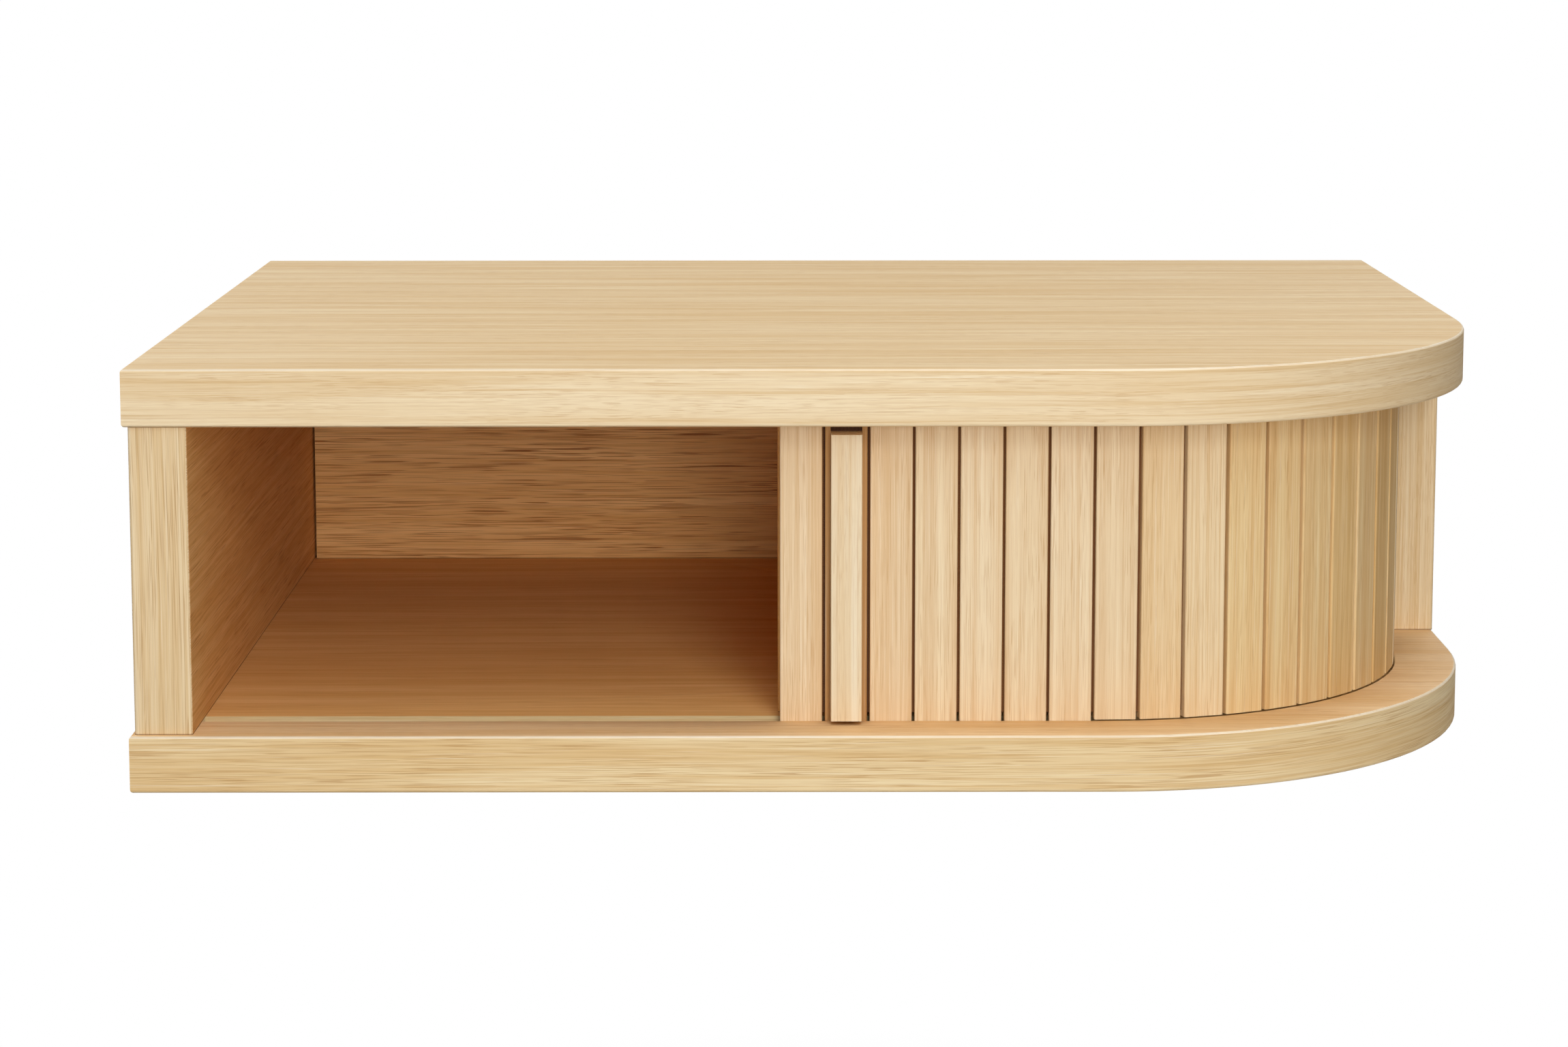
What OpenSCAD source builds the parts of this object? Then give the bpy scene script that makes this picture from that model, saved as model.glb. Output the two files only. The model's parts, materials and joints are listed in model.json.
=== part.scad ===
// Bedside table with a tambour door.
//
// Two boards with one rounded corner are held apart by a left side panel, a divider, a short
// right side panel and a back panel. A curtain of slats on canvas runs in a groove in both
// boards, from the open cubby on the left, round the corner and in behind the right panel.
// Plan coordinates run from the left front corner: X to the right, Y to the back. The model's
// origin is the middle of its underside, with Z up.

/* [Carcass] */
// Width over the two boards
width = 600; // [540:5:750]
// Depth from the front edge to the wall
depth = 450; // [400:5:540]
// Thickness of the top and bottom boards
board_t = 25; // [22:1:30]
// Clear height between the boards
opening_h = 134; // [111:1:170]
// Radius of the rounded front right corner
corner_r = 178; // [148:1:214]
// Thickness of the side panels and the divider
side_t = 25; // [21:1:30]
// How far the left panel stands in from the boards' left edge
left_inset = 2; // [0:0.5:6]
// How far the left panel stands back from the boards' front edge
front_setback = 3; // [0:0.5:8]
// Clear width of the open cubby
cubby_w = 251.5; // [200:0.5:300]
// Length of curtain that shows between the corner and the right panel
side_show = 44; // [30:1:60]
// Thickness of the back panel
back_t = 18; // [15:1:22]
// Room behind the back panel for the hanging cleats
wall_recess = 18; // [15:1:22]
// Shadow gap at each end of the back panel, half its thickness deep
back_gap = 1.2; // [0:0.1:3]
// Radius of the eased edges of boards and panels
edge_ease = 1.5; // [0.5:0.1:3]

/* [Curtain] */
// Width of a slat
slat_w = 18.4; // [15.3:0.1:22.1]
// Gap between two slats
slat_gap = 1.2; // [1:0.1:2]
// Thickness of a slat
slat_t = 8; // [6.6:0.1:10]
// Radius of a slat's eased front edges
slat_ease = 0.8; // [0.3:0.1:1.5]
// Thickness of the canvas glued into the slats
canvas_t = 0.6; // [0.4:0.1:1]
// Glue line on each face of the canvas
canvas_glue = 0.03; // [0.02:0.01:0.1]
// Bare end of each slat above and below the canvas, inside the opening
canvas_margin = 3; // [2:0.5:10]
// How far the divider's edge shows past the leading slat
divider_show = 0.9; // [0:0.1:3]
// Least length of curtain behind the right panel's front edge
tail_cover = 12; // [5:1:30]

/* [Groove] */
// From the boards' edge to the groove
groove_inset = 28; // [24:0.5:33]
// Depth of the groove
groove_depth = 7; // [5:0.5:9]
// Play between the slats' faces and the groove's outer wall
front_play = 0.6; // [0.4:0.1:1]
// Play between the slats' backs and the groove's inner wall
back_play = 1.4; // [0.8:0.1:2]
// Play between a slat's end and the groove's floor
end_play = 1; // [0.5:0.1:2]
// Clearance of the slats behind the handle part over the boards
tail_play = 0.4; // [0.3:0.1:1]
// Length of groove left behind the last slat
groove_spare = 3; // [2:0.5:10]
// Gap between the leading slat and the left panel when the cubby is shut
stop_gap = 0.6; // [0.3:0.1:2]
// Room between the curtain's back and the divider, for the curtain's bow as it runs
divider_room = 8; // [7.5:0.5:14]

/* [Grip] */
// Strip of slat on each side of the grip bar
grip_shoulder = 2.45; // [1.5:0.05:4]
// How far the grip bar stands out of its slat
grip_proud = 8.6; // [6:0.1:12]
// Gap under the grip bar
grip_foot = 1.7; // [1:0.1:4]
// Gap above the grip bar, where the slat's channel stays open
grip_head = 6.4; // [3:0.1:10]
// Clearance of the grip bar in its channel, each side
grip_play = 0.1; // [0.05:0.05:0.2]

/* [Joinery] */
// Diameter of the dowels
dowel_d = 8; // [6:1:10]
// Length of a dowel in its board
dowel_bite = 12; // [10:1:13]
// Length of a dowel in its panel
dowel_reach = 18; // [15:1:22]
// Room left at the bottom of a dowel hole
dowel_spare = 1; // [0.5:0.5:2]
// Radial glue clearance round a dowel
dowel_play = 0.05; // [0.02:0.01:0.1]
// From a panel's end to its first dowel
dowel_margin = 50; // [40:5:60]

/* [Hanging cleats] */
// Gap between the cabinet cleat's ends and the side panels
cleat_end_gap = 34; // [10:1:60]
// Height of the cabinet cleat at its wall side
cleat_h = 50; // [44:1:56]
// How much shorter the wall cleat is at each end, to shift the table sideways
wall_cleat_shift = 20; // [5:1:40]
// Gap between the wall cleat and the spacer batten
batten_gap = 12; // [6:1:20]
// Distance from one of the wall cleat's three screw holes to the next
wall_hole_pitch = 180; // [150:5:200]
// Diameter of the wall cleat's screw holes
wall_hole_d = 5.5; // [4.5:0.5:6.5]
// Height of the spacer batten at the foot
batten_h = 30; // [24:1:34]

/* [Hidden] */
top_z = board_t + opening_h;
corner = [width - corner_r, corner_r];
left_inner = left_inset + side_t;
right_inner = width - side_t;
divider_x = left_inner + cubby_w;
post_y = corner_r + side_show;
back_y = depth - wall_recess - back_t;
recess_y = depth - wall_recess;
inner_mid = (left_inner + right_inner) / 2;

slats_named_from = 3;
pitch = slat_w + slat_gap;
groove_w = front_play + slat_t + back_play;
grip_w = slat_w - 2 * grip_shoulder;
curtain_mid = groove_inset + front_play + slat_t / 2;
track_r = corner_r - curtain_mid;
divider_y = groove_inset + front_play + slat_t + divider_room;
door_x = divider_x + divider_show;
curtain_len = corner.x - door_x + track_r * PI / 2 + side_show + tail_cover;
slat_count = ceil(curtain_len / pitch);

cleat_len = right_inner - left_inner - 2 * cleat_end_gap;
cleat_foot = top_z - cleat_h;
wall_cleat_foot = board_t + batten_h + batten_gap;
wall_cleat_len = cleat_len - 2 * wall_cleat_shift;
grip_screw_d = 3;
grip_screw_len = 12;
grip_screw_inset = 30;
grip_edge = 0.7;
panel_screw_d = 4;
panel_screw_len = wall_recess + back_t - panel_screw_d * 1.5;
screw_play = 0.1;
head_ratio = 2;
recess_ratio = 0.22;
wall_screw_count = 3;
cleat_screw_count = 4;
cleat_end = 40;

arc_steps = 4;
spill = 1;
round_fn = 48;

oak_edge = "#ead2a6";
oak_face = "#e1c69b";
oak_slat = "#e6c99c";
oak_inside = "#c79b66";
beech = "#d8b483";
plywood = "#cfb083";
linen = "#4a2d18";
steel = "#b9b9b4";

// ---- where the curtain runs ----

function slat_name(i) = str("slat_", i < 10 ? "0" : "", i);

// A point of the curtain's line on the rounded corner, a degrees past its start
function on_corner(a) = corner + track_r * [sin(a), -cos(a)];

function corner_angle(p) = atan2(p.x - corner.x, corner.y - p.y);

// The angle on the corner that is one pitch on from a point before the corner
function angle_after(p) =
    let (back = p.x - corner.x,
         reach = sqrt(back * back + track_r * track_r),
         level = (2 * track_r * track_r + back * back - pitch * pitch) / (2 * track_r))
    atan2(back, track_r) + acos(level / reach);

// The next hinge line: each lies on the curtain's line, one pitch from the last in a straight line
function next_hinge(p) =
    let (step = 2 * asin(pitch / (2 * track_r)), a = corner_angle(p))
    p.x + pitch <= corner.x ? p + [pitch, 0]
    : p.x < corner.x ? on_corner(angle_after(p))
    : p.y >= corner.y ? p + [0, pitch]
    : a + step <= 90 ? on_corner(a + step)
    : [corner.x + track_r, p.y + sqrt(pitch * pitch - pow(corner.x + track_r - p.x, 2))];

function chain(p, n) = n == 0 ? [p] : concat([p], chain(next_hinge(p), n - 1));

hinges = chain([door_x - slat_gap / 2, curtain_mid], slat_count);

function heading(i) = atan2(hinges[i].y - hinges[i - 1].y, hinges[i].x - hinges[i - 1].x);

function in_groove(i) = hinges[i].x <= corner.x;

groove_end = hinges[slat_count].y - slat_gap / 2 + groove_spare;

// ---- outlines ----

// A rounded corner: points on a quarter circle round c, from angle a
function quarter(c, r, a) = [for (k = [0 : arc_steps]) c + r * [cos(a + 90 * k / arc_steps), sin(a + 90 * k / arc_steps)]];

// A rectangle from [0, 0] to size, eased at the corners whose flags are set, from the origin anticlockwise
function eased(size, r, flags) = concat(
    flags[0] ? quarter([r, r], r, 180) : [[0, 0]],
    flags[1] ? quarter([size.x - r, r], r, 270) : [[size.x, 0]],
    flags[2] ? quarter([size.x - r, size.y - r], r, 0) : [size],
    flags[3] ? quarter([r, size.y - r], r, 90) : [[0, size.y]]);

// Evenly spaced places from a to b, the first and last a margin inside them
function spaced(a, b, margin, n) = [for (k = [0 : n - 1]) a + margin + k * (b - a - 2 * margin) / (n - 1)];

// ---- shared shapes ----

// Puts plan coordinates into the model's frame
module plan() translate([-width / 2, -depth / 2, 0]) children();

module along_x(length) rotate([90, 0, 90]) linear_extrude(length) children();

module along_y(length) translate([0, length, 0]) rotate([90, 0, 0]) linear_extrude(length) children();

module round_corner() translate(corner) rotate(270) rotate_extrude(angle = 90, $fn = 4 * round_fn) children();

// A board: eased front, left and right edges and the rounded corner
module board() {
    difference() {
        intersection() {
            along_x(width) polygon(eased([depth, board_t], edge_ease, [true, false, false, true]));
            along_y(depth) polygon(eased([width, board_t], edge_ease, [true, true, true, true]));
        }
        translate([corner.x, -spill, -spill]) cube([corner_r + spill, corner_r + spill, board_t + 2 * spill]);
    }
    round_corner() polygon(eased([corner_r, board_t], edge_ease, [false, true, true, false]));
}

// The curtain's groove as a solid to cut, standing on its floor
module groove_cut() {
    outer = corner_r - groove_inset;
    tall = groove_depth + spill;
    translate([left_inner, groove_inset, 0]) cube([corner.x - left_inner, groove_w, tall]);
    round_corner() translate([outer - groove_w, 0]) square([groove_w, tall]);
    translate([corner.x + outer - groove_w, corner.y, 0]) cube([groove_w, groove_end - corner.y, tall]);
}

// A standing panel, its front edges eased
module panel(x, y, size) translate([x, y, board_t])
    linear_extrude(opening_h) polygon(eased(size, edge_ease, [true, true, false, false]));

// Dowel places in plan: three panels and the back
left_dowels = [for (y = spaced(front_setback, depth, dowel_margin, 3)) [left_inset + side_t / 2, y]];
right_dowels = [for (y = spaced(post_y, depth, dowel_margin, 2)) [width - side_t / 2, y]];
divider_dowels = [for (y = spaced(divider_y, back_y, dowel_margin, 3)) [divider_x + side_t / 2, y]];
back_dowels = [for (x = spaced(left_inner, right_inner, dowel_margin, 4)) [x, back_y + back_t / 2]];
all_dowels = concat(left_dowels, right_dowels, divider_dowels, back_dowels);

// One dowel standing on the joint between a board below and a panel above, ends chamfered
module dowel() {
    r = dowel_d / 2;
    translate([0, 0, -dowel_bite]) rotate_extrude($fn = round_fn) polygon([
        [0, 0], [r - 1, 0], [r, 1],
        [r, dowel_bite + dowel_reach - 1], [r - 1, dowel_bite + dowel_reach], [0, dowel_bite + dowel_reach]]);
}

module dowel_hole() translate([0, 0, -dowel_bite - dowel_spare])
    cylinder(d = dowel_d + 2 * dowel_play, h = dowel_bite + dowel_reach + 2 * dowel_spare, $fn = round_fn);

// Children on the bottom board's joint at each place, and upside down on the top board's
module at_joints(places) for (p = places) {
    translate([p.x, p.y, board_t]) children();
    translate([p.x, p.y, top_z]) mirror([0, 0, 1]) children();
}

// A countersunk screw with its head's face at the origin, pointing along +Z
module screw(d, length) {
    r = d / 2;
    head = r * head_ratio;
    difference() {
        rotate_extrude($fn = round_fn) polygon([
            [0, 0], [head, 0], [r, head - r], [r, length - d], [0, length]]);
        for (turn = [0, 90]) rotate(turn)
            translate([-head * 0.6, -head * recess_ratio / 2, -spill]) cube([head * 1.2, head * recess_ratio, spill + d / 4]);
    }
}

// The hole for such a screw, open a little past its head
module screw_hole(d, length) {
    r = d / 2 + screw_play;
    head = d / 2 * head_ratio + screw_play;
    rotate_extrude($fn = round_fn) polygon([
        [0, -spill], [head, -spill], [head, 0], [r, head - r], [r, length + screw_play], [0, length + screw_play]]);
}

// Children pointing from the wall side into the cabinet
module from_wall(x, z) translate([x, depth, z]) rotate([90, 0, 0]) children();

// ---- carcass ----

module top_board() color(oak_face) plan() difference() {
    translate([0, 0, top_z]) board();
    translate([0, 0, top_z + groove_depth]) mirror([0, 0, 1]) groove_cut();
    at_joints(all_dowels) dowel_hole();
}

module bottom_board() color(oak_face) plan() difference() {
    board();
    translate([0, 0, board_t - groove_depth]) groove_cut();
    at_joints(all_dowels) dowel_hole();
}

module left_side_panel() color(oak_edge) plan() difference() {
    panel(left_inset, front_setback, [side_t, depth - front_setback]);
    at_joints(left_dowels) dowel_hole();
}

module right_side_panel() color(oak_edge) plan() difference() {
    panel(right_inner, post_y, [side_t, depth - post_y]);
    at_joints(right_dowels) dowel_hole();
}

module divider_panel() color(oak_inside) plan() difference() {
    panel(divider_x, divider_y, [side_t, back_y - divider_y]);
    at_joints(divider_dowels) dowel_hole();
}

// The back panel's plan: full width at its rear, and set in by the shadow gap at its front
module rebated(length) {
    translate([back_gap, 0]) square([length - 2 * back_gap, back_t]);
    translate([0, back_t / 2]) square([length, back_t / 2]);
}

module back_panel() color(oak_inside) plan() difference() {
    translate([left_inner, back_y, board_t]) linear_extrude(opening_h) rebated(right_inner - left_inner);
    at_joints(back_dowels) dowel_hole();
    cleat_screw_places() screw_hole(panel_screw_d, panel_screw_len);
    batten_screw_places() screw_hole(panel_screw_d, panel_screw_len);
}

module carcass_dowels() color(beech) plan() at_joints(all_dowels) dowel();

// ---- hanging cleats, in the recess behind the back panel ----

module cleat_screw_places()
    for (x = spaced(inner_mid - cleat_len / 2, inner_mid + cleat_len / 2, cleat_end, cleat_screw_count))
        from_wall(x, top_z - cleat_h / 2 + wall_recess / 4) children();

module batten_screw_places()
    for (x = spaced(inner_mid - cleat_len / 2, inner_mid + cleat_len / 2, cleat_end, cleat_screw_count - 1))
        from_wall(x, board_t + batten_h / 2) children();

// The cabinet's cleat: its lower edge slopes down to the wall and hooks behind the wall cleat
module hanging_cleat() color(plywood) plan() difference() {
    translate([inner_mid - cleat_len / 2, 0, 0]) along_x(cleat_len) polygon([
        [recess_y, top_z], [recess_y, cleat_foot + wall_recess], [depth, cleat_foot], [depth, top_z]]);
    cleat_screw_places() screw_hole(panel_screw_d, panel_screw_len);
}

module cleat_screws() color(steel) plan() cleat_screw_places() screw(panel_screw_d, panel_screw_len);

// The wall's cleat: its upper edge slopes down to the wall, and the wall screws pass through it
module wall_cleat() color(plywood) plan() difference() {
    hole_z = (wall_cleat_foot + cleat_foot) / 2;
    translate([inner_mid - wall_cleat_len / 2, 0, 0]) along_x(wall_cleat_len) polygon([
        [recess_y, wall_cleat_foot], [depth, wall_cleat_foot], [depth, cleat_foot], [recess_y, cleat_foot + wall_recess]]);
    for (k = [0 : wall_screw_count - 1])
        translate([inner_mid + (k - (wall_screw_count - 1) / 2) * wall_hole_pitch, recess_y - spill, hole_z])
            rotate([-90, 0, 0]) {
                cylinder(d = wall_hole_d, h = wall_recess + 2 * spill, $fn = round_fn);
                cylinder(d1 = 2 * wall_hole_d + 2 * spill, d2 = 0, h = wall_hole_d + spill, $fn = round_fn);
            }
}

module spacer_batten() color(plywood) plan() difference() {
    translate([inner_mid - cleat_len / 2, recess_y, board_t]) cube([cleat_len, wall_recess, batten_h]);
    batten_screw_places() screw_hole(panel_screw_d, panel_screw_len);
}

module batten_screws() color(steel) plan() batten_screw_places() screw(panel_screw_d, panel_screw_len);

// ---- curtain ----

// Children in a slat's own place: X along the curtain from one hinge line to the next, -Y outwards
module at_slat(i) translate(hinges[i - 1]) rotate(heading(i)) children();

// A slat, eased in front and slotted from side to side for the canvas
module slat_body(i) {
    foot = in_groove(i) ? board_t - groove_depth + end_play : board_t + tail_play;
    head = in_groove(i) ? top_z + groove_depth - end_play : top_z - tail_play;
    at_slat(i) difference() {
        translate([slat_gap / 2, -slat_t / 2, foot])
            linear_extrude(head - foot) polygon(eased([slat_w, slat_t], slat_ease, [true, true, false, false]));
        translate([0, -canvas_t / 2 - canvas_glue, board_t + canvas_margin])
            cube([pitch, canvas_t + 2 * canvas_glue, opening_h - 2 * canvas_margin]);
    }
}

module slat(i) color(oak_slat) plan() slat_body(i);

module leading_slat() slat(1);

channel_depth = (slat_t - canvas_t) / 2 - canvas_glue;
grip_depth = grip_proud + channel_depth;
grip_z = board_t + grip_foot;
grip_h = opening_h - grip_foot - grip_head;

// Children at each grip screw's place: the head lies in the slat's back, the point in the bar
module grip_screw_places()
    for (z = [grip_z + grip_screw_inset, grip_z + grip_h - grip_screw_inset])
        at_slat(2) translate([pitch / 2, slat_t / 2, z]) rotate([90, 0, 0]) children();

// The second slat: a channel for the grip bar runs from the bar's foot out of the slat's top
module handle_slat() color(oak_slat) plan() difference() {
    slat_body(2);
    at_slat(2) translate([pitch / 2 - grip_w / 2 - grip_play, -slat_t / 2 - spill, grip_z])
        cube([grip_w + 2 * grip_play, channel_depth + spill, opening_h + board_t]);
    grip_screw_places() screw_hole(grip_screw_d, grip_screw_len);
}

module grip_bar() color(oak_edge) plan() difference() {
    at_slat(2) translate([pitch / 2 - grip_w / 2, -slat_t / 2 - grip_proud, grip_z])
        linear_extrude(grip_h) polygon(eased([grip_w, grip_depth], grip_edge, [true, true, false, false]));
    grip_screw_places() screw_hole(grip_screw_d, grip_screw_len);
}

module grip_screws() color(steel) plan() grip_screw_places() screw(grip_screw_d, grip_screw_len);

// The canvas: one strip through all the slats, bent at the hinge lines
function canvas_side(side) = [for (i = [0 : slat_count])
    let (before = heading(max(i, 1)), after = heading(min(i + 1, slat_count)),
         mean = (before + after) / 2,
         out = side * canvas_t / 2 / cos((after - before) / 2),
         trim = i == 0 ? slat_gap : i == slat_count ? -slat_gap : 0)
    hinges[i] + trim * [cos(mean), sin(mean)] + out * [-sin(mean), cos(mean)]];

module tambour_canvas() color(linen) plan() difference() {
    translate([0, 0, board_t + canvas_margin])
        linear_extrude(opening_h - 2 * canvas_margin)
            polygon(concat(canvas_side(-1), [for (i = [slat_count : -1 : 0]) canvas_side(1)[i]]));
    grip_screw_places() screw_hole(grip_screw_d, grip_screw_len);
}

top_board();
bottom_board();
left_side_panel();
right_side_panel();
divider_panel();
back_panel();
carcass_dowels();
hanging_cleat();
cleat_screws();
wall_cleat();
spacer_batten();
batten_screws();
leading_slat();
handle_slat();
grip_bar();
grip_screws();
for (i = [slats_named_from : slat_count])
    slat(i);
tambour_canvas();
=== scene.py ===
"""A wall-hung bedside table in pale oak: two boards with a rounded corner, an open cubby and a
curtain of upright slats."""
import json
import math

import bmesh
import bpy
from mathutils import Matrix, Vector


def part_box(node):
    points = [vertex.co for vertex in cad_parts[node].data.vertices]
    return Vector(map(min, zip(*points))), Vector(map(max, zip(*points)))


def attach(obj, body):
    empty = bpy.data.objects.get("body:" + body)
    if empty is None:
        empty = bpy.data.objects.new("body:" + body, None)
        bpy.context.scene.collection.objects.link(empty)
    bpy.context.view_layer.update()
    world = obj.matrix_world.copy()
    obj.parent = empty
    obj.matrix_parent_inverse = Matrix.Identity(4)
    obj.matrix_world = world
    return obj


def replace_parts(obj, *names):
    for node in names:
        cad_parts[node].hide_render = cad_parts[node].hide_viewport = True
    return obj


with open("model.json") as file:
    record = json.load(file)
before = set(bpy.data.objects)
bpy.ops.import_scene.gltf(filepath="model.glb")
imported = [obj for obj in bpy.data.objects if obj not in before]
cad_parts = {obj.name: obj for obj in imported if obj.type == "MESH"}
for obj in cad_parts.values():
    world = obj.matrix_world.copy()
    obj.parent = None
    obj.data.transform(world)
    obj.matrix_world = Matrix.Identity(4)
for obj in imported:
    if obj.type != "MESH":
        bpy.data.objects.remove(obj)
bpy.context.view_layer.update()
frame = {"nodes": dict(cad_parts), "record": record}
nodes = frame["nodes"]

MM = 0.001
BODY_OF = {node: body for body, members in frame["record"]["behaviour"]["bodies"].items()
           for node in members}
SLATS = ["leading_slat", "handle_slat"] + ["slat_%02d" % i for i in range(3, 23)]

# Sizes in metres, as in the CAD. The boards' round corner is at the front right.
WIDTH, DEPTH, CORNER = 0.6, 0.45, 0.178
FRONT, RIGHT = -DEPTH / 2, WIDTH / 2
BEND = Vector((RIGHT - CORNER, FRONT + CORNER))     # the round corner's centre
BEND_LENGTH = CORNER * math.pi / 2
MIDDLE_HEIGHT = 92 * MM
OPENING = 134 * MM          # clear height between the boards
GROOVE = 29 * MM            # from a board's edge to just inside the groove
CANVAS_THICK = 0.6 * MM
INSIDE_SHADE_TO = 0.2              # Y behind which no painted shade of the inside is laid: it is inside the back panel

# Camera: found from the boards' edges in the photograph
view = bpy.data.cameras.new("camera")
camera = bpy.data.objects.new("camera", view)
bpy.context.scene.collection.objects.link(camera)
bpy.context.scene.camera = camera
camera.location = (-0.0227, -1.725, 0.3838)
camera.rotation_euler = (math.radians(82.43), math.radians(0.02), math.radians(-0.15))
view.lens = 82.08
view.shift_y = -0.0993
view.clip_start, view.clip_end = 0.01, 60


# ---------------------------------------------------------------- materials

SMOOTH = {"interpolation_type": "SMOOTHSTEP"}
TINT = {"data_type": "RGBA"}
TIMES = {"operation": "MULTIPLY"}
PLUS = {"operation": "ADD"}
ABSOLUTE = {"operation": "ABSOLUTE"}
WHITE = (1, 1, 1, 1)


def shade(colour):
    """The linear RGBA of an sRGB hex colour."""
    parts = [int(colour[i:i + 2], 16) / 255 for i in (1, 3, 5)]
    return (*(c / 12.92 if c <= 0.04045 else ((c + 0.055) / 1.055) ** 2.4 for c in parts), 1.0)


def marks(long, wide):
    """The scale of a pattern whose marks are this many mm long, along the grain, and wide."""
    return 1 / (long * MM), 1 / (wide * MM), 1 / (wide * MM)


def add(tree, kind, settings=None, **inputs):
    """A node with its settings and links. A node given as a value is linked from its first output;
    __1 after a name is the second input of that name."""
    node = tree.nodes.new("ShaderNode" + kind)
    for key, value in (settings or {}).items():
        setattr(node, key, value)
    for key, value in inputs.items():
        name, _, number = key.partition("__")
        named = [s for s in node.inputs if s.enabled and s.name == name.replace("_", " ")]
        socket = named[int(number or 0)]
        if isinstance(value, bpy.types.Node):
            value = next(s for s in value.outputs if s.enabled)
        if isinstance(value, bpy.types.NodeSocket):
            tree.links.new(value, socket)
        else:
            socket.default_value = value
    return node


def material(name):
    """An empty material and its node tree."""
    made = bpy.data.materials.new(name)
    made.use_nodes = True
    made.node_tree.nodes.clear()
    return made, made.node_tree


def grain_place(tree, grain):
    """A point in metres as (along the grain, across it, across it). grain is the axis that it runs
    along, or 'edges' for a panel whose front and back edges have it upright and whose faces have it
    from front to back, or 'map' for the piece's own map."""
    if grain == "map":
        return add(tree, "UVMap", {"uv_map": "grain"})
    coordinate = add(tree, "TexCoord").outputs
    x, y, z = add(tree, "SeparateXYZ", Vector=coordinate["Object"]).outputs
    order = {"x": (x, y, z), "z": (z, x, y), "edges": (y, z, x)}[grain]
    place = add(tree, "CombineXYZ", X=order[0], Y=order[1], Z=order[2])
    if grain != "edges":
        return place
    facing = add(tree, "SeparateXYZ", Vector=coordinate["Normal"]).outputs["Y"]
    squarely = add(tree, "Math", ABSOLUTE, Value=facing)
    on_edge = add(tree, "Math", {"operation": "COMPARE"}, Value=squarely, Value__1=1.0,
                  Value__2=0.4)
    upright = add(tree, "CombineXYZ", X=z, Y=x, Z=y)
    return add(tree, "Mix", {"data_type": "VECTOR"}, Factor=on_edge, A=place, B=upright)


# Length and width in mm of each kind of mark. Growth lines are about 2 mm apart on a veneer leaf
# and finer on a slat, which is cut on the quarter.
LEAF = {"band": (380, 17), "growth": (170, 2.2), "fibre": (60, 0.7), "crowd": (90, 8)}
QUARTER = {"band": (600, 5.5), "growth": (320, 1.5), "fibre": (75, 0.6), "crowd": (70, 4)}


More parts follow.
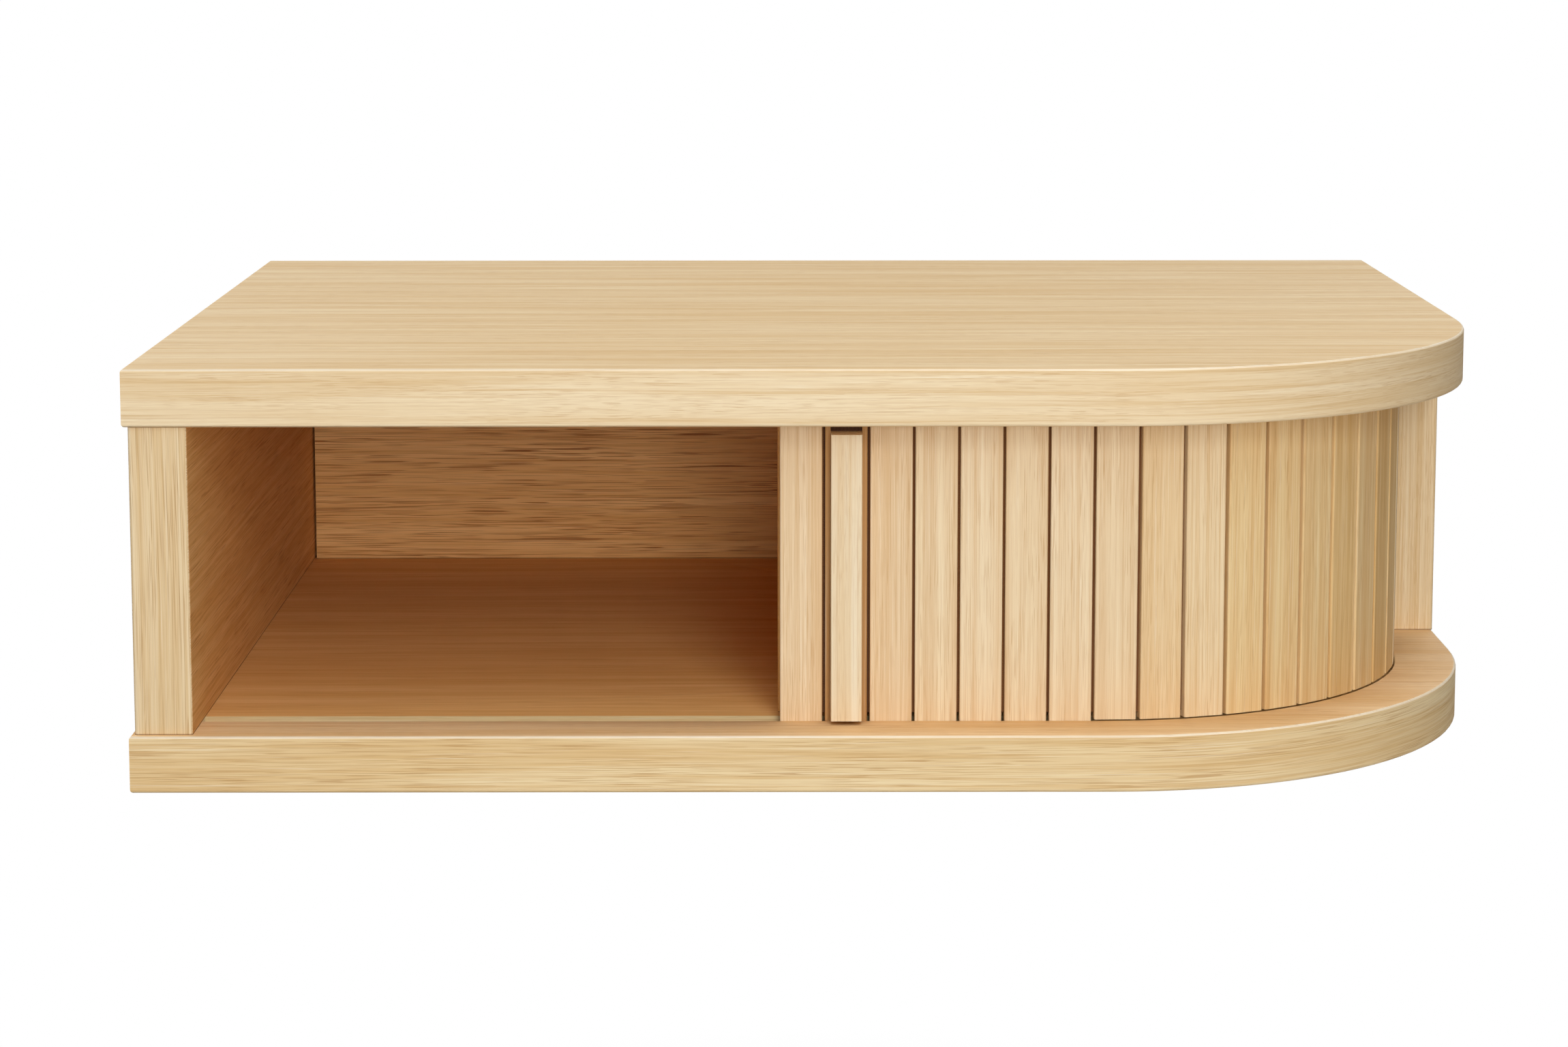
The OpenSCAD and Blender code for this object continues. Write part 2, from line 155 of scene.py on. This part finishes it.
def oak(name, grain, start, figure=LEAF, pale="#EFD9B2", warm="#DCBB88", pore="#BA8749",
        pore_size=(9, 0.28), pores=0.35, inside_shade=0.0, side=None, joint_shade=False):
    """Rift-cut oak under matt lacquer. Straight lines in soft bands, fine fibre and short open
    pores that show as small dark dashes. start is the place in the pattern that the piece is cut
    from, figure the size of its marks, pale and warm the wood between its bands and in them.
    pore, pore_size and pores are its dashes' colour, their length and width in mm, and how dark
    they get. inside_shade is how much it has of the inside's painted shade, a deeper and warmer
    tone, on the one side that is given or on all, and joint_shade draws a fine line of painted
    shade along the joint where a panel meets the boards."""
    made, tree = material(name)
    # the grain wanders by up to 1.5 mm to each side
    flat = grain_place(tree, grain)
    slow = add(tree, "Mapping", Vector=flat, Location=start, Scale=marks(200, 100))
    sway = add(tree, "TexNoise", Vector=slow, Scale=1.0, Detail=1.0).outputs["Color"]
    wander = add(tree, "VectorMath", {"operation": "MULTIPLY_ADD"}, Vector=sway,
                 Vector__1=(0, 3 * MM, 3 * MM), Vector__2=flat)
    # pores are 0.2 mm wide on the real wood, and are drawn wider to show in the render
    drawn = {}
    for layer, (long, wide) in dict(figure, dash=pore_size).items():
        stretched = add(tree, "Mapping", Vector=wander, Location=start, Scale=marks(long, wide))
        drawn[layer] = add(tree, "TexNoise", Vector=stretched, Scale=1.0,
                           Detail=0.0 if layer == "dash" else 3.0, Roughness=0.55)
    crowd = add(tree, "MapRange", SMOOTH, Value=drawn["crowd"], From_Min=0.36, From_Max=0.64,
                To_Min=0.5 * pores, To_Max=pores)
    dash = add(tree, "MapRange", SMOOTH, Value=drawn["dash"], From_Min=0.53, From_Max=0.66)
    drawn["pores"] = add(tree, "Math", TIMES, Value=dash, Value__1=crowd)

    # each layer with its colour, where in its noise it starts and is full, and how strong it gets
    colour = shade(pale)
    for layer, tint, none, full, most in (
            ("band", warm, 0.3, 0.72, 0.8),
            ("growth", warm, 0.42, 0.72, 0.75),
            ("growth", pale, 0.42, 0.25, 0.6),
            ("fibre", pore, 0.48, 0.8, 0.3),
            ("fibre", "#FBEFD8", 0.45, 0.22, 0.35),
            ("pores", pore, 0.0, 1.0, 1.0)):
        amount = add(tree, "MapRange", SMOOTH, Value=drawn[layer], From_Min=none, From_Max=full,
                     To_Max=most)
        colour = add(tree, "Mix", TINT, Factor=amount, A=colour, B=shade(tint))

    if inside_shade or joint_shade:
        place = add(tree, "TexCoord").outputs
        deep, height = add(tree, "SeparateXYZ", Vector=place["Object"]).outputs[1:]
    # painted shade: inside the table the colour is multiplied by a deeper, warmer tone
    if inside_shade:
        inside = add(tree, "Math", {"operation": "LESS_THAN"}, Value=deep, Value__1=INSIDE_SHADE_TO)
        if side:
            facing = add(tree, "VectorMath", {"operation": "DOT_PRODUCT"}, Vector=place["Normal"],
                         Vector__1=side)
            squarely = add(tree, "Math", {"operation": "GREATER_THAN"}, Value=facing,
                           Value__1=0.95)
            inside = add(tree, "Math", TIMES, Value=inside, Value__1=squarely)
        amount = add(tree, "Math", TIMES, Value=inside, Value__1=inside_shade)
        colour = add(tree, "Mix", dict(TINT, blend_type="MULTIPLY"), Factor=amount, A=colour,
                     B=shade("#FFE1B8"))
    # painted shade: a fine dark line along the joint where a panel meets the boards
    if joint_shade:
        above = add(tree, "Math", {"operation": "SUBTRACT"}, Value=height, Value__1=MIDDLE_HEIGHT)
        from_middle = add(tree, "Math", ABSOLUTE, Value=above)
        dark = add(tree, "MapRange", SMOOTH, Value=from_middle, From_Min=OPENING / 2 - 0.7 * MM,
                   From_Max=OPENING / 2 - 0.2 * MM, To_Max=0.7)
        colour = add(tree, "Mix", TINT, Factor=dark, A=colour, B=shade("#6B431F"))

    dents = add(tree, "Math", TIMES, Value=drawn["pores"], Value__1=-1.0)
    relief = add(tree, "Math", {"operation": "MULTIPLY_ADD"}, Value=drawn["fibre"],
                 Value__1=0.35, Value__2=dents)
    gloss = add(tree, "MapRange", Value=drawn["fibre"], From_Min=0.2, From_Max=0.8, To_Min=0.57,
                To_Max=0.7)
    add(tree, "OutputMaterial", Surface=add(
        tree, "BsdfPrincipled", Base_Color=colour, Roughness=gloss, IOR=1.5,
        Specular_IOR_Level=0.15,
        Normal=add(tree, "Bump", Strength=0.3, Distance=0.1 * MM, Height=relief)))
    return made


oak_top = oak("lacquered oak veneer on the top board", "map", (0, 0, 0),
              pale="#F2DDB8", warm="#DFBF8E")
oak_face = oak("lacquered oak veneer on the boards' faces", "map", (0, 0, 0),
               pale="#F2DAB0", warm="#E0BC85", pores=0.4)
oak_foot = oak("lacquered oak veneer on the bottom board", "map", (4.1, 0.7, 0),
               pale="#F0D8AA", warm="#DCB77E", pore="#B07C3E", pore_size=(24, 0.34), pores=0.5)
# the ledge before the curtain: a paler ground under a little over half the inside's painted shade
oak_ledge = oak("lacquered oak veneer before the curtain", "map", (4.1, 0.7, 0),
                pale="#FFEDCC", warm="#F1D4A2", inside_shade=0.55)
# the boards' inner faces behind the curtain carry the inside's painted shade in full
oak_shaded_inside = oak("lacquered oak veneer inside the boards, with painted shade", "map", (0, 0, 0),
                 pore_size=(24, 0.45), inside_shade=1.0)
# painted highlight: the upward arrises are paler than the faces
oak_arris_highlight = oak("oak arris, paler as a painted highlight", "map", (0, 0, 0), pale="#FDF0D9", warm="#F6E0BC", pores=0.2)
# painted highlight: the groove's walls and floor are paler than the faces
oak_groove_highlight = oak("oak in the groove, paler as a painted highlight", "map", (0, 0, 0),
                 pale="#FFE2AC", warm="#F8D496", pores=0.2)
# the panels' faces inside carry the inside's painted shade, and painted shade along their joints
# with the boards
oak_left = oak("lacquered oak veneer on the left panel", "edges", (1.7, 0.3, 0.9), QUARTER,
               pore="#A8743A", pore_size=(28, 0.38), pores=0.5,
               inside_shade=1.0, side=(1, 0, 0), joint_shade=True)
oak_right = oak("lacquered oak veneer on the right panel", "edges", (3.3, 1.3, 2.9), QUARTER,
                inside_shade=1.0, side=(-1, 0, 0), joint_shade=True)
oak_back = oak("lacquered oak veneer on the back panel", "x", (2.9, 1.1, 0.4),
               pore="#8A5A2A", pore_size=(28, 0.34), pores=0.75,
               inside_shade=1.0, side=(0, -1, 0), joint_shade=True)
oak_divider = oak("lacquered oak veneer on the divider", "edges", (5.2, 2.1, 1.4), QUARTER,
                  inside_shade=1.0, joint_shade=True)
oak_grip = oak("oak grip bar", "z", (4.4, 9.6, 6.1), QUARTER, "#F4E3C4", "#E7CBA0", pores=0.3)
# slats come from several planks, so neighbours differ a little in tone and pattern; the handle
# slat's brown tone (b) is painted shade beside the grip bar
PLANKS = {
    key: oak("oak slat, %s plank" % plank, "z", start, QUARTER, pale, warm,
             pore_size=(16, 0.3), pores=0.4)
    for key, plank, start, pale, warm in (
        ("e", "even", (0.0, 0.0, 0.0), "#EED4AE", "#DDBA8B"),
        ("p", "pale", (3.1, 5.3, 1.9), "#F3DEBA", "#E1C093"),
        ("c", "cream", (5.9, 8.1, 7.3), "#F2DCB6", "#E2C398"),
        ("w", "warm", (7.7, 2.2, 4.6), "#F3DCB4", "#E4C290"),
        ("h", "honey", (9.3, 6.4, 2.8), "#F1D6A2", "#DEB57B"),
        ("d", "deep honey", (1.9, 4.7, 8.5), "#EDCC94", "#D7AB6A"),
        ("b", "painted-shade", (6.7, 3.4, 0.8), "#BE915E", "#9F7140"))}
# a letter for each slat, from the leading slat on
PLANK_OF = dict(zip(SLATS, "ebecpcpcwwhhhdhddwhpew"))


def turned_beech():
    """Bare turned beech. A plain pinkish ground with short dark flecks."""
    made, tree = material("bare turned beech")
    place = grain_place(tree, "z")
    tone = add(tree, "TexNoise", Scale=1.0, Detail=2.0, Vector=add(
        tree, "Mapping", Vector=place, Scale=marks(80, 3)))
    colour = add(tree, "Mix", TINT, Factor=tone, A=shade("#DDB98C"), B=shade("#CDA273"))
    fleck = add(tree, "TexNoise", Scale=1.0, Detail=1.0, Vector=add(
        tree, "Mapping", Vector=place, Scale=marks(3, 0.5)))
    shown = add(tree, "MapRange", SMOOTH, Value=fleck, From_Min=0.62, From_Max=0.7, To_Max=0.5)
    colour = add(tree, "Mix", TINT, Factor=shown, A=colour, B=shade("#9A6B41"))
    add(tree, "OutputMaterial", Surface=add(
        tree, "BsdfPrincipled", Base_Color=colour, Roughness=0.6, IOR=1.5,
        Normal=add(tree, "Bump", Strength=0.2, Distance=0.1 * MM, Height=fleck)))
    return made


def birch_plywood():
    """Sanded birch plywood. Its plies, pale and brown in turn, show on its edges."""
    made, tree = material("sanded birch plywood")
    ply = 1.5 * MM
    place = add(tree, "TexCoord").outputs
    streak = add(tree, "TexNoise", Scale=1.0, Detail=3.0, Vector=add(
        tree, "Mapping", Vector=place["Object"], Scale=marks(160, 7)))
    amount = add(tree, "MapRange", SMOOTH, Value=streak, From_Min=0.3, From_Max=0.72)
    face = add(tree, "Mix", TINT, Factor=amount, A=shade("#E2C99C"), B=shade("#CFAE79"))
    deep = add(tree, "SeparateXYZ", Vector=place["Object"]).outputs["Y"]
    turn = add(tree, "Math", {"operation": "PINGPONG"}, Value=deep, Value__1=ply)
    layer = add(tree, "MapRange", SMOOTH, Value=turn, From_Min=0.4 * ply, From_Max=0.6 * ply)
    edge = add(tree, "Mix", TINT, Factor=layer, A=shade("#DDBF8C"), B=shade("#A67C49"))
    facing = add(tree, "SeparateXYZ", Vector=place["Normal"]).outputs["Y"]
    squarely = add(tree, "Math", ABSOLUTE, Value=facing)
    on_face = add(tree, "MapRange", SMOOTH, Value=squarely, From_Min=0.75, From_Max=0.95)
    colour = add(tree, "Mix", TINT, Factor=on_face, A=edge, B=face)
    add(tree, "OutputMaterial", Surface=add(
        tree, "BsdfPrincipled", Base_Color=colour, Roughness=0.62, IOR=1.5,
        Normal=add(tree, "Bump", Strength=0.2, Distance=0.1 * MM, Height=streak)))
    return made


def cotton_canvas(name, dark, light):
    """Woven cotton canvas, dyed brown. Its level threads are 0.8 mm apart and its upright ones 1.1
    to 1.6 mm, about twice as coarse as the real cloth so that the weave shows."""
    made, tree = material(name)
    place = add(tree, "TexCoord").outputs["Object"]
    spacing = 0.8 * MM
    # at scale 1 a wave texture has a band every pi / 10
    threads = {"Scale": math.pi / (10 * spacing), "Distortion": 0.6, "Detail": 1.0}
    level = add(tree, "TexWave", {"bands_direction": "Z"}, Vector=place, **threads)
    plan = add(tree, "Mapping", Vector=place, Scale=(1, 1, 0))
    upright = add(tree, "TexWave", {"bands_direction": "DIAGONAL"}, Vector=plan, **threads)
    weave = add(tree, "Math", TIMES, Value=level.outputs["Fac"], Value__1=upright.outputs["Fac"])
    colour = add(tree, "Mix", TINT, Factor=weave, A=shade(dark), B=shade(light))
    add(tree, "OutputMaterial", Surface=add(
        tree, "BsdfPrincipled", Base_Color=colour, Roughness=0.9, IOR=1.45, Sheen_Weight=0.2,
        Normal=add(tree, "Bump", Strength=0.5, Distance=0.2 * MM, Height=weave)))
    return made


def zinc_plate():
    """Zinc-plated steel. A pale grey metal, clouded by the plating in patches of 2.5 mm."""
    made, tree = material("zinc-plated steel")
    place = add(tree, "TexCoord").outputs["Object"]
    cloud = add(tree, "TexNoise", Vector=place, Scale=1 / (2.5 * MM), Detail=3.0)
    colour = add(tree, "Mix", TINT, Factor=cloud, A=shade("#CDCCC8"), B=shade("#ADACA7"))
    rough = add(tree, "MapRange", Value=cloud, From_Min=0.3, From_Max=0.7, To_Min=0.28,
                To_Max=0.42)
    add(tree, "OutputMaterial", Surface=add(
        tree, "BsdfPrincipled", Base_Color=colour, Metallic=1.0, Roughness=rough,
        Normal=add(tree, "Bump", Strength=0.1, Distance=0.05 * MM, Height=cloud)))
    return made


beech, plywood, steel = turned_beech(), birch_plywood(), zinc_plate()
canvas = cotton_canvas("woven cotton canvas", "#6E431D", "#7E5126")
# painted shade: the canvas behind the handle slat is darker, so the open end of the grip's channel
# shows dark
canvas_in_shade = cotton_canvas("woven cotton canvas, soiled behind the grip",
                                "#4A2A14", "#5A361C")


# ------------------------------------------------------------------- pieces

def mesh_of(name, shape):
    """The mesh of a finished bmesh."""
    mesh = bpy.data.meshes.new(name)
    shape.to_mesh(mesh)
    shape.free()
    return mesh


def piece(name, mesh, body, slot, *finishes):
    """A finished piece, which rides on its body and takes the finishes given to it. slot is not
    used.
    """
    made = bpy.data.objects.new(name, mesh)
    bpy.context.scene.collection.objects.link(made)
    for finish in finishes:
        mesh.materials.append(finish)
    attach(made, body)
    return made


def repaint(node, finish):
    """A CAD node, in this finish all over."""
    nodes[node].data.materials.clear()
    nodes[node].data.materials.append(finish)


def along_edge(point):
    """How far a point is along the edge band, which starts on the front and turns the corner."""
    x, y = point.x - BEND.x, point.y - BEND.y
    if y >= 0:
        return BEND.x + BEND_LENGTH + y
    return point.x if x <= 0 else BEND.x + CORNER * math.atan2(x, -y)


def from_edge(point):
    """How far a point is inside the front and right edges."""
    x, y = point.x - BEND.x, point.y - BEND.y
    if y >= 0:
        return RIGHT - point.x
    return point.y - FRONT if x <= 0 else CORNER - math.hypot(x, y)


# A board's finishes, in the order of its material slots
BAND, ARRIS, FACE, LEDGE, SHADED_INSIDE, CHANNEL = range(6)
# Where the grain map has the edges, and the back edge, clear of the faces' part
EDGE_ROW, BACK_START = 1.3, 2.9
NEAR = 10 * MM      # a wall nearer to a board's edge is on its outside, and any other inside it


def veneered_board(node, inner_side, band):
    """A board with its faces merged, so that the rounded corner shades smoothly, and with a map of
    the grain: from left to right on its faces, and along the band on its edges. Its face on
    inner_side (1 up, -1 down) carries the inside's painted shade behind the curtain and a little
    over half of it, on a paler ground, before the curtain. The groove and the upward arrises are
    paler, as painted highlights."""
    shape = bmesh.new()
    shape.from_mesh(nodes[node].data)
    bmesh.ops.remove_doubles(shape, verts=shape.verts, dist=0.002 * MM)
    shape.normal_update()
    low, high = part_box(node)
    inner_face = low.z if inner_side < 0 else high.z
    apart = low.z           # the boards are cut from different parts of the pattern
    grain = shape.loops.layers.uv.new("grain")
    for face in shape.faces:
        facing, middle = face.normal, face.calc_center_median()
        level = abs(facing.z)
        for loop in face.loops:
            at = loop.vert.co
            if level > 0.7:
                place = at.x + apart, at.y + apart
            elif facing.x < -0.7 and at.x < -RIGHT + NEAR:
                place = FRONT - RIGHT - at.y, at.z + EDGE_ROW
            elif facing.y > 0.7 and at.y > -FRONT - NEAR:
                place = at.x + apart + BACK_START, at.z + EDGE_ROW
            else:
                place = along_edge(at) + apart, at.z + EDGE_ROW
            loop[grain].uv = place
        inside = min(from_edge(middle), middle.x + RIGHT, -FRONT - middle.y)
        # painted highlight: faces turned partly up take the paler arris finish
        if 0.2 < facing.z < 0.98:
            face.material_index = ARRIS
        # painted highlight: the groove's walls and floor take the paler groove finish
        elif level < 0.2 and inside > NEAR:
            face.material_index = CHANNEL
        elif level > 0.9 and facing.z * inner_side < 0:
            face.material_index = FACE
        elif level > 0.9 and abs(middle.z - inner_face) > MM:
            face.material_index = CHANNEL
        # painted shade: the inner face carries part of the inside's shade before the groove and all
        # of it behind
        elif level > 0.9:
            face.material_index = LEDGE if from_edge(middle) < GROOVE else SHADED_INSIDE
        face.smooth = True
    mesh = mesh_of(node, shape)
    mesh.set_sharp_from_angle(angle=math.radians(35))
    made = piece(node + "_veneered", mesh, BODY_OF[node], "oak_board",
                 band, oak_arris_highlight, oak_face, oak_ledge, oak_shaded_inside, oak_groove_highlight)
    made.modifiers.new("even shading", "WEIGHTED_NORMAL").keep_sharp = True
    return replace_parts(made, node)


veneered_board("top_board", -1, oak_top)
veneered_board("bottom_board", 1, oak_foot)
repaint("left_side_panel", oak_left)
repaint("right_side_panel", oak_right)
repaint("divider_panel", oak_divider)
repaint("back_panel", oak_back)
for slat in SLATS:
    repaint(slat, PLANKS[PLANK_OF[slat]])
repaint("grip_bar", oak_grip)
repaint("carcass_dowels", beech)
for wood in ("hanging_cleat", "wall_cleat", "spacer_batten"):
    repaint(wood, plywood)
for screws in ("cleat_screws", "batten_screws", "grip_screws"):
    repaint(screws, steel)


def canvas_strips():
    """The canvas, cut at the hinge lines between the slats, so that each length turns with its
    slat. A hinge line is as far past a slat's middle as the one before is ahead of it."""
    low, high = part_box("tambour_canvas")
    tall = high.z - low.z
    middles = [(sum(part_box(slat), Vector()) / 2).to_2d() for slat in SLATS]
    hinge = (3 * middles[0] - middles[1]) / 2
    for slat, middle in zip(SLATS, middles):
        start, end = hinge.copy(), 2 * middle - hinge
        hinge = end.copy()
        start.x, end.y = max(start.x, low.x), min(end.y, high.y)
        run, centre = end - start, (start + end) / 2
        turn = Matrix.Rotation(math.atan2(run.y, run.x), 3, "Z")
        shape = bmesh.new()
        bmesh.ops.create_cube(shape, size=1)
        bmesh.ops.scale(shape, vec=(run.length, CANVAS_THICK, tall), verts=shape.verts)
        bmesh.ops.subdivide_edges(shape, edges=shape.edges, cuts=1, use_grid_fill=True)
        bmesh.ops.rotate(shape, cent=(0, 0, 0), matrix=turn, verts=shape.verts)
        bmesh.ops.translate(shape, vec=(*centre, (low.z + high.z) / 2), verts=shape.verts)
        # the handle slat's canvas is the one darkened as painted shade
        cloth = canvas_in_shade if slat == "handle_slat" else canvas
        made = piece("canvas_behind_" + slat, mesh_of("canvas", shape), BODY_OF[slat], "canvas",
                     cloth)
    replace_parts(made, "tambour_canvas")


canvas_strips()


# --------------------------------------------------------- floor and light

FLOOR_HALF, FLOOR_DROP = 14, 0.45       # in metres, from its middle to its side and below the table
LIT_POINT = Vector((0, 0, 0.09))        # what the soft lights point at


def white_floor():
    """A pale floor far enough below for a wall-hung table. To the camera it is white where no
    shadow falls, and it turns to plain white from 0.4 to 0.85 m away from the table's middle."""
    made, tree = material("white studio floor")
    seen = add(tree, "LightPath").outputs["Is Camera Ray"]
    place = add(tree, "TexCoord").outputs["Object"]
    plan = add(tree, "Mapping", Vector=place, Scale=(1, 1, 0))
    away = add(tree, "VectorMath", {"operation": "LENGTH"}, Vector=plan)
    glow = add(tree, "MapRange", SMOOTH, Value=away, From_Min=0.4, From_Max=0.85, To_Min=0.7,
               To_Max=1.0)
    part = add(tree, "Math", TIMES, Value=seen, Value__1=glow)
    plain = add(tree, "BsdfDiffuse", Color=shade("#CCCCCC"))
    white = add(tree, "Emission", Color=WHITE, Strength=1.0)
    add(tree, "OutputMaterial", Surface=add(
        tree, "MixShader", Fac=part, Shader=plain, Shader__1=white))
    shape = bmesh.new()
    bmesh.ops.create_grid(shape, x_segments=1, y_segments=1, size=FLOOR_HALF)
    bmesh.ops.translate(shape, vec=(0, 0, -FLOOR_DROP), verts=shape.verts)
    mesh = mesh_of("floor", shape)
    mesh.materials.append(made)
    floor = bpy.data.objects.new("floor", mesh)
    bpy.context.scene.collection.objects.link(floor)


def studio_world(strength):
    """Even light from all round, and white where the camera, a gloss or a glass looks at it."""
    world = bpy.data.worlds.new("studio")
    bpy.context.scene.world = world
    world.use_nodes = True
    tree = world.node_tree
    tree.nodes.clear()
    ray = add(tree, "LightPath").outputs
    mirrored = add(tree, "Math", PLUS, Value=ray["Is Glossy Ray"],
                   Value__1=ray["Is Transmission Ray"])
    seen = add(tree, "Math", dict(PLUS, use_clamp=True), Value=ray["Is Camera Ray"],
               Value__1=mirrored)
    around = add(tree, "Background", Color=WHITE, Strength=strength)
    white = add(tree, "Background", Color=WHITE, Strength=1.0)
    add(tree, "OutputWorld", Surface=add(
        tree, "MixShader", Fac=seen, Shader=around, Shader__1=white))


def soft_box(name, azimuth, elevation, distance, size, power):
    """A square soft light, in degrees, metres and watts. Azimuth 0 is in front of the table and 90
    is on its right."""
    lamp = bpy.data.lights.new(name, "AREA")
    lamp.shape, lamp.size, lamp.energy = "SQUARE", size, power
    made = bpy.data.objects.new(name, lamp)
    bpy.context.scene.collection.objects.link(made)
    a, e = math.radians(azimuth), math.radians(elevation)
    way = Vector((math.sin(a) * math.cos(e), -math.cos(a) * math.cos(e), math.sin(e)))
    made.location = LIT_POINT + way * distance
    made.rotation_euler = way.to_track_quat("Z", "Y").to_euler()


white_floor()
studio_world(0.06)
soft_box("low front light", 2, 5, 3.0, 0.8, 19)
soft_box("front light", 6, 12, 3.0, 0.6, 11)
soft_box("key light", 12, 24, 3.0, 0.6, 16)
soft_box("high front light", 4, 45, 2.2, 1.0, 9.5)
soft_box("overhead light", 0, 80, 2.5, 1.6, 20)
soft_box("back left light", -145, 28, 3.0, 1.2, 22)
soft_box("back right light", 148, 28, 3.0, 1.2, 15)
soft_box("left light", -105, 10, 3.0, 1.2, 12)
bpy.context.scene.view_settings.view_transform = "Standard"
